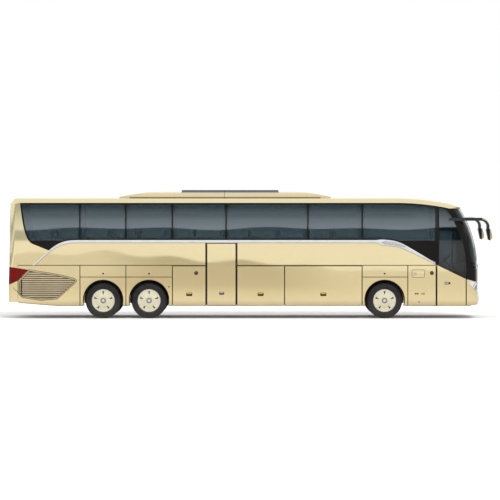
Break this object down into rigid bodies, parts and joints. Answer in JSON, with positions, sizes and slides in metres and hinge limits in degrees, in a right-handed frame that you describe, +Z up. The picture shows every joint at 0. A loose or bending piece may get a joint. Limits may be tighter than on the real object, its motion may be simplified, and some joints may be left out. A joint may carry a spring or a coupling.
{
  "type": "coach bus",
  "caption": "High-deck touring coach with three axles, two passenger doors, lifting luggage flaps and a roof air conditioner.",
  "frame": {"origin": "on the road, at the middle of the whole vehicle's length and width", "axes": "+X forward, +Y to the coach's left, +Z up"},
  "size_m": [14.22, 2.9, 3.779],
  "materials": {
    "paint": "gloss",
    "chassis_steel": "satin",
    "tinted_glass": "gloss",
    "dark_trim": "satin",
    "engine_iron": "matte",
    "floor_board": "matte",
    "clear_lens": "gloss",
    "red_lens": "gloss",
    "grille": "satin",
    "seat_cloth": "matte",
    "tyre_rubber": "matte",
    "wheel_paint": "satin"
  },
  "bodies": {
    "coach": {"underframe": "chassis_steel", "cabin_floor": "floor_board", "entrance_steps": "floor_board", "right_side_wall": "paint", "left_side_wall": "paint", "side_panels": "paint", "side_grilles": "grille", "roof": "paint", "rear_wall": "paint", "rear_bumper": "paint", "windscreen_surround": "dark_trim", "front_bumper": "paint", "windscreen": "tinted_glass", "side_windows": "tinted_glass", "rear_window": "tinted_glass", "roof_air_conditioner": "paint", "engine": "engine_iron", "wheel_housings": "dark_trim", "headlamps": "clear_lens", "tail_lamps": "red_lens", "mirrors": "dark_trim", "dashboard": "dark_trim", "steering_wheel": "dark_trim", "driver_seat": "seat_cloth", "passenger_seats": "seat_cloth", "front_axle": "chassis_steel", "drive_axle": "chassis_steel", "trailing_axle": "chassis_steel"},
    "front_door_column": {"front_door_arms": "chassis_steel"},
    "front_door_leaf": {"front_door": "paint", "front_door_glass": "tinted_glass"},
    "middle_door_column": {"mid_door_arms": "chassis_steel"},
    "middle_door_leaf": {"mid_door": "paint"},
    "engine_lid_panel": {"engine_lid": "paint"},
    "right_knuckle_body": {"right_knuckle": "chassis_steel"},
    "left_knuckle_body": {"left_knuckle": "chassis_steel"},
    "right_front_wheel_body": {"right_front_tyre": "tyre_rubber", "right_front_wheel": "wheel_paint"},
    "left_front_wheel_body": {"left_front_tyre": "tyre_rubber", "left_front_wheel": "wheel_paint"},
    "right_drive_wheel_body": {"right_drive_tyre": "tyre_rubber", "right_drive_wheel": "wheel_paint"},
    "left_drive_wheel_body": {"left_drive_tyre": "tyre_rubber", "left_drive_wheel": "wheel_paint"},
    "right_trailing_wheel_body": {"right_trailing_tyre": "tyre_rubber", "right_trailing_wheel": "wheel_paint"},
    "left_trailing_wheel_body": {"left_trailing_tyre": "tyre_rubber", "left_trailing_wheel": "wheel_paint"},
    "right_rear_flap_arms_body": {"right_rear_flap_arms": "chassis_steel"},
    "right_rear_flap_panel": {"right_rear_flap": "paint"},
    "right_middle_flap_arms_body": {"right_middle_flap_arms": "chassis_steel"},
    "right_middle_flap_panel": {"right_middle_flap": "paint"},
    "right_front_flap_arms_body": {"right_front_flap_arms": "chassis_steel"},
    "right_front_flap_panel": {"right_front_flap": "paint"},
    "left_rear_flap_arms_body": {"left_rear_flap_arms": "chassis_steel"},
    "left_rear_flap_panel": {"left_rear_flap": "paint"},
    "left_middle_flap_arms_body": {"left_middle_flap_arms": "chassis_steel"},
    "left_middle_flap_panel": {"left_middle_flap": "paint"},
    "left_front_flap_arms_body": {"left_front_flap_arms": "chassis_steel"},
    "left_front_flap_panel": {"left_front_flap": "paint"}
  },
  "joints": [
    {"name": "front_door_column_turn", "type": "hinge", "parent": "coach", "child": "front_door_column", "pos_m": [5.96, -1.115, 1.25], "axis": [0, 0, 1], "range_deg": [0, 127]},
    {"name": "front_door_leaf_turn", "type": "hinge", "parent": "front_door_column", "child": "front_door_leaf", "pos_m": [5.56, -1.155, 1.25], "axis": [0, 0, 1], "range_deg": [-127, 0]},
    {"name": "middle_door_column_turn", "type": "hinge", "parent": "coach", "child": "middle_door_column", "pos_m": [-0.6, -1.115, 1.25], "axis": [0, 0, 1], "range_deg": [0, 142]},
    {"name": "middle_door_leaf_turn", "type": "hinge", "parent": "middle_door_column", "child": "middle_door_leaf", "pos_m": [-1.11, -1.155, 1.25], "axis": [0, 0, 1], "range_deg": [-142, 0]},
    {"name": "engine_lid_lift", "type": "hinge", "parent": "coach", "child": "engine_lid_panel", "pos_m": [-7.07116, 0, 1.89529], "axis": [0, 1, 0], "range_deg": [0, 75]},
    {"name": "left_steering", "type": "hinge", "parent": "coach", "child": "left_knuckle_body", "pos_m": [3.96, 0.9, 0.522], "axis": [0, 0, 1], "range_deg": [-40, 40]},
    {"name": "right_steering", "type": "hinge", "parent": "coach", "child": "right_knuckle_body", "pos_m": [3.96, -0.9, 0.522], "axis": [0, 0, 1], "range_deg": [-40, 40]},
    {"name": "right_front_wheel_spin", "type": "hinge", "parent": "right_knuckle_body", "child": "right_front_wheel_body", "pos_m": [3.96, -1.075, 0.522], "axis": [0, 1, 0], "continuous": true},
    {"name": "left_front_wheel_spin", "type": "hinge", "parent": "left_knuckle_body", "child": "left_front_wheel_body", "pos_m": [3.96, 1.075, 0.522], "axis": [0, 1, 0], "continuous": true},
    {"name": "right_drive_wheel_spin", "type": "hinge", "parent": "coach", "child": "right_drive_wheel_body", "pos_m": [-2.97, -1.075, 0.522], "axis": [0, 1, 0], "continuous": true},
    {"name": "left_drive_wheel_spin", "type": "hinge", "parent": "coach", "child": "left_drive_wheel_body", "pos_m": [-2.97, 1.075, 0.522], "axis": [0, 1, 0], "continuous": true},
    {"name": "right_trailing_wheel_spin", "type": "hinge", "parent": "coach", "child": "right_trailing_wheel_body", "pos_m": [-4.32, -1.075, 0.522], "axis": [0, 1, 0], "continuous": true},
    {"name": "left_trailing_wheel_spin", "type": "hinge", "parent": "coach", "child": "left_trailing_wheel_body", "pos_m": [-4.32, 1.075, 0.522], "axis": [0, 1, 0], "continuous": true},
    {"name": "right_rear_flap_lift", "type": "hinge", "parent": "coach", "child": "right_rear_flap_arms_body", "pos_m": [-1.7865, -1.13, 1.3], "axis": [-1, 0, 0], "range_deg": [0, 115]},
    {"name": "right_rear_flap_level", "type": "hinge", "parent": "right_rear_flap_arms_body", "child": "right_rear_flap_panel", "pos_m": [-1.7865, -1.13, 0.62], "axis": [-1, 0, 0], "range_deg": [-115, 0]},
    {"name": "right_middle_flap_lift", "type": "hinge", "parent": "coach", "child": "right_middle_flap_arms_body", "pos_m": [0.312, -1.13, 1.3], "axis": [-1, 0, 0], "range_deg": [0, 115]},
    {"name": "right_middle_flap_level", "type": "hinge", "parent": "right_middle_flap_arms_body", "child": "right_middle_flap_panel", "pos_m": [0.312, -1.13, 0.62], "axis": [-1, 0, 0], "range_deg": [-115, 0]},
    {"name": "right_front_flap_lift", "type": "hinge", "parent": "coach", "child": "right_front_flap_arms_body", "pos_m": [2.1575, -1.13, 1.3], "axis": [-1, 0, 0], "range_deg": [0, 115]},
    {"name": "right_front_flap_level", "type": "hinge", "parent": "right_front_flap_arms_body", "child": "right_front_flap_panel", "pos_m": [2.1575, -1.13, 0.62], "axis": [-1, 0, 0], "range_deg": [-115, 0]},
    {"name": "left_rear_flap_lift", "type": "hinge", "parent": "coach", "child": "left_rear_flap_arms_body", "pos_m": [-1.338, 1.13, 1.3], "axis": [1, 0, 0], "range_deg": [0, 115]},
    {"name": "left_rear_flap_level", "type": "hinge", "parent": "left_rear_flap_arms_body", "child": "left_rear_flap_panel", "pos_m": [-1.338, 1.13, 0.62], "axis": [1, 0, 0], "range_deg": [-115, 0]},
    {"name": "left_middle_flap_lift", "type": "hinge", "parent": "coach", "child": "left_middle_flap_arms_body", "pos_m": [0.312, 1.13, 1.3], "axis": [1, 0, 0], "range_deg": [0, 115]},
    {"name": "left_middle_flap_level", "type": "hinge", "parent": "left_middle_flap_arms_body", "child": "left_middle_flap_panel", "pos_m": [0.312, 1.13, 0.62], "axis": [1, 0, 0], "range_deg": [-115, 0]},
    {"name": "left_front_flap_lift", "type": "hinge", "parent": "coach", "child": "left_front_flap_arms_body", "pos_m": [2.1575, 1.13, 1.3], "axis": [1, 0, 0], "range_deg": [0, 115]},
    {"name": "left_front_flap_level", "type": "hinge", "parent": "left_front_flap_arms_body", "child": "left_front_flap_panel", "pos_m": [2.1575, 1.13, 0.62], "axis": [1, 0, 0], "range_deg": [-115, 0]}
  ],
  "couplings": [
    {"joint": "front_door_leaf_turn", "follows": "front_door_column_turn", "ratio": -1},
    {"joint": "middle_door_leaf_turn", "follows": "middle_door_column_turn", "ratio": -1},
    {"joint": "right_steering", "follows": "left_steering", "ratio": 1},
    {"joint": "right_rear_flap_level", "follows": "right_rear_flap_lift", "ratio": -1},
    {"joint": "right_middle_flap_level", "follows": "right_middle_flap_lift", "ratio": -1},
    {"joint": "right_front_flap_level", "follows": "right_front_flap_lift", "ratio": -1},
    {"joint": "left_rear_flap_level", "follows": "left_rear_flap_lift", "ratio": -1},
    {"joint": "left_middle_flap_level", "follows": "left_middle_flap_lift", "ratio": -1},
    {"joint": "left_front_flap_level", "follows": "left_front_flap_lift", "ratio": -1}
  ]
}
